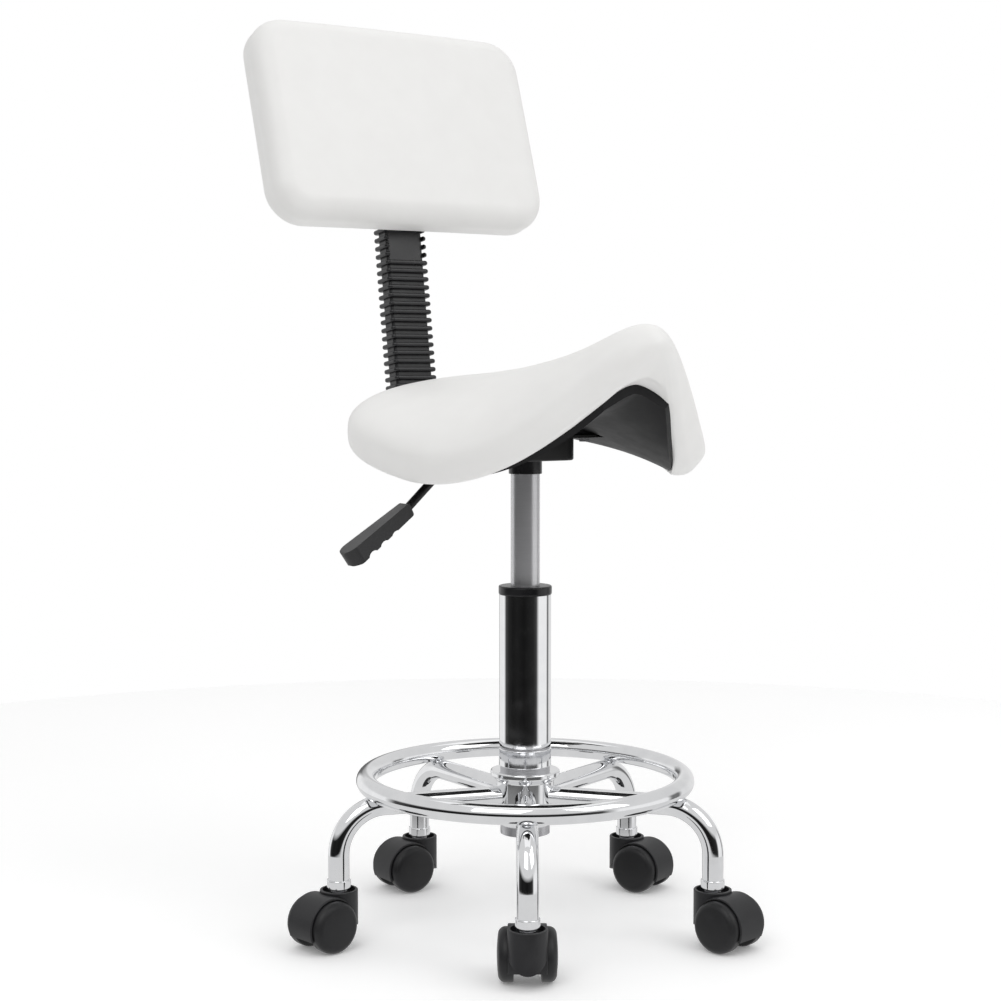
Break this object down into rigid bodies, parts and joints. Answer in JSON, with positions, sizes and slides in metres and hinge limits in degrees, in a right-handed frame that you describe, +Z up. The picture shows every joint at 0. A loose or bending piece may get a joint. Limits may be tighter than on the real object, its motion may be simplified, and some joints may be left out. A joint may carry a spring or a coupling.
{
  "type": "pedicure stool",
  "caption": "Low rolling stool: white saddle seat and padded backrest on a gas lift, with a chrome foot ring and twin-wheel casters.",
  "frame": {"origin": "on the floor, on the gas lift's vertical axis", "axes": "+Z up along the gas lift; -Y is the way the sitter faces; +X is the sitter's left; the release lever is on the -X side"},
  "size_m": [0.4408, 0.5044, 0.9035],
  "materials": {
    "chrome": "polished",
    "lift_steel": "satin",
    "bare_steel": "satin",
    "tube_steel": "satin",
    "black_metal": "satin",
    "black_plastic": "matte",
    "handle_plastic": "satin",
    "caster_plastic": "satin",
    "wheel_plastic": "satin",
    "boot_rubber": "satin",
    "white_cover": "satin"
  },
  "bodies": {
    "base": {"hub": "chrome", "foot_ring": "chrome", "leg_1": "chrome", "leg_2": "chrome", "leg_3": "chrome", "leg_4": "chrome", "leg_5": "chrome", "leg_end_collars": "chrome", "leg_sockets": "bare_steel", "caster_stems": "bare_steel", "outer_tube": "tube_steel", "cover_sleeve": "chrome", "lower_collar": "chrome", "guide_bush": "black_plastic", "base_cap": "tube_steel", "thrust_bearing": "bare_steel"},
    "spindle": {"piston_rod": "bare_steel", "rod_clip": "bare_steel", "piston": "black_plastic"},
    "seat": {"gas_cylinder": "lift_steel", "cylinder_end_bush": "black_plastic", "seat_socket": "black_metal", "seat_pan": "black_metal", "seat_bolts": "bare_steel", "seat_board": "black_plastic", "seat_cushion": "white_cover", "bar_bracket": "black_metal"},
    "lever": {"lever_rod": "black_metal", "lever_handle": "handle_plastic"},
    "valve_button": {"release_button": "bare_steel"},
    "depth_clamp": {"depth_knob": "black_plastic"},
    "back_support": {"back_bar": "black_metal", "bar_boot": "boot_rubber"},
    "backrest": {"back_board": "black_plastic", "back_cushion": "white_cover", "back_screws": "bare_steel", "back_carriage": "black_metal", "carriage_bolt": "bare_steel"},
    "height_clamp": {"height_knob": "black_plastic"},
    "caster_1": {"caster_hood_1": "caster_plastic", "caster_axle_1": "bare_steel"},
    "wheel_1_left": {"wheel_1_left": "wheel_plastic"},
    "wheel_1_right": {"wheel_1_right": "wheel_plastic"},
    "caster_2": {"caster_hood_2": "caster_plastic", "caster_axle_2": "bare_steel"},
    "wheel_2_left": {"wheel_2_left": "wheel_plastic"},
    "wheel_2_right": {"wheel_2_right": "wheel_plastic"},
    "caster_3": {"caster_hood_3": "caster_plastic", "caster_axle_3": "bare_steel"},
    "wheel_3_left": {"wheel_3_left": "wheel_plastic"},
    "wheel_3_right": {"wheel_3_right": "wheel_plastic"},
    "caster_4": {"caster_hood_4": "caster_plastic", "caster_axle_4": "bare_steel"},
    "wheel_4_left": {"wheel_4_left": "wheel_plastic"},
    "wheel_4_right": {"wheel_4_right": "wheel_plastic"},
    "caster_5": {"caster_hood_5": "caster_plastic", "caster_axle_5": "bare_steel"},
    "wheel_5_left": {"wheel_5_left": "wheel_plastic"},
    "wheel_5_right": {"wheel_5_right": "wheel_plastic"}
  },
  "joints": [
    {"name": "seat_swivel", "type": "hinge", "parent": "base", "child": "spindle", "pos_m": [0, 0, 0.1], "axis": [0, 0, 1], "continuous": true},
    {"name": "seat_height", "type": "slide", "parent": "spindle", "child": "seat", "axis": [0, 0, 1], "range_m": [-0.095, 0.02]},
    {"name": "lever_lift", "type": "hinge", "parent": "seat", "child": "lever", "pos_m": [-0.038, 0, 0.467], "axis": [0, 1, 0], "range_deg": [0, 4.5], "stiffness_Nm_per_rad": 2, "springref_deg": -1.15},
    {"name": "button_press", "type": "slide", "parent": "seat", "child": "valve_button", "axis": [0, 0, -1], "range_m": [0, 0.0032], "stiffness_N_per_m": 300, "springref_m": -0.0005},
    {"name": "depth_knob_turn", "type": "hinge", "parent": "seat", "child": "depth_clamp", "pos_m": [0, 0.116, 0.455], "axis": [0, 0, 1], "range_deg": [0, 360]},
    {"name": "backrest_depth", "type": "slide", "parent": "seat", "child": "back_support", "axis": [0, 1, 0], "range_m": [-0.018, 0.02]},
    {"name": "backrest_height", "type": "slide", "parent": "back_support", "child": "backrest", "axis": [0, 0.3132, 0.9497], "range_m": [-0.035, 0.025]},
    {"name": "height_knob_turn", "type": "hinge", "parent": "backrest", "child": "height_clamp", "pos_m": [0, 0.27112, 0.78832], "axis": [0, -0.9497, 0.3132], "range_deg": [0, 360]},
    {"name": "caster_1_swivel", "type": "hinge", "parent": "base", "child": "caster_1", "pos_m": [-0.10103, -0.15557, 0.07], "axis": [0, 0, 1], "continuous": true},
    {"name": "wheel_1_left_roll", "type": "hinge", "parent": "caster_1", "child": "wheel_1_left", "pos_m": [-0.09014, -0.1388, 0.0245], "axis": [-0.8387, 0.5446, 0], "continuous": true},
    {"name": "wheel_1_right_roll", "type": "hinge", "parent": "caster_1", "child": "wheel_1_right", "pos_m": [-0.09014, -0.1388, 0.0245], "axis": [-0.8387, 0.5446, 0], "continuous": true},
    {"name": "caster_2_swivel", "type": "hinge", "parent": "base", "child": "caster_2", "pos_m": [0.11674, -0.14416, 0.07], "axis": [0, 0, 1], "continuous": true},
    {"name": "wheel_2_left_roll", "type": "hinge", "parent": "caster_2", "child": "wheel_2_left", "pos_m": [0.12124, -0.16365, 0.0245], "axis": [0.9744, 0.225, 0], "continuous": true},
    {"name": "wheel_2_right_roll", "type": "hinge", "parent": "caster_2", "child": "wheel_2_right", "pos_m": [0.12124, -0.16365, 0.0245], "axis": [0.9744, 0.225, 0], "continuous": true},
    {"name": "caster_3_swivel", "type": "hinge", "parent": "base", "child": "caster_3", "pos_m": [0.17318, 0.06648, 0.07], "axis": [0, 0, 1], "continuous": true},
    {"name": "wheel_3_left_roll", "type": "hinge", "parent": "caster_3", "child": "wheel_3_left", "pos_m": [0.18099, 0.04807, 0.0245], "axis": [0.9205, 0.3907, 0], "continuous": true},
    {"name": "wheel_3_right_roll", "type": "hinge", "parent": "caster_3", "child": "wheel_3_right", "pos_m": [0.18099, 0.04807, 0.0245], "axis": [0.9205, 0.3907, 0], "continuous": true},
    {"name": "caster_4_swivel", "type": "hinge", "parent": "base", "child": "caster_4", "pos_m": [-0.00971, 0.18525, 0.07], "axis": [0, 0, 1], "continuous": true},
    {"name": "wheel_4_left_roll", "type": "hinge", "parent": "caster_4", "child": "wheel_4_left", "pos_m": [-0.02971, 0.1849, 0.0245], "axis": [0.0175, -0.9998, 0], "continuous": true},
    {"name": "wheel_4_right_roll", "type": "hinge", "parent": "caster_4", "child": "wheel_4_right", "pos_m": [-0.02971, 0.1849, 0.0245], "axis": [0.0175, -0.9998, 0], "continuous": true},
    {"name": "caster_5_swivel", "type": "hinge", "parent": "base", "child": "caster_5", "pos_m": [-0.17918, 0.04801, 0.07], "axis": [0, 0, 1], "continuous": true},
    {"name": "wheel_5_left_roll", "type": "hinge", "parent": "caster_5", "child": "wheel_5_left", "pos_m": [-0.19888, 0.04454, 0.0245], "axis": [0.1736, -0.9848, 0], "continuous": true},
    {"name": "wheel_5_right_roll", "type": "hinge", "parent": "caster_5", "child": "wheel_5_right", "pos_m": [-0.19888, 0.04454, 0.0245], "axis": [0.1736, -0.9848, 0], "continuous": true}
  ],
  "couplings": [
    {"joint": "button_press", "follows": "lever_lift", "m_per_rad": 0.038}
  ]
}
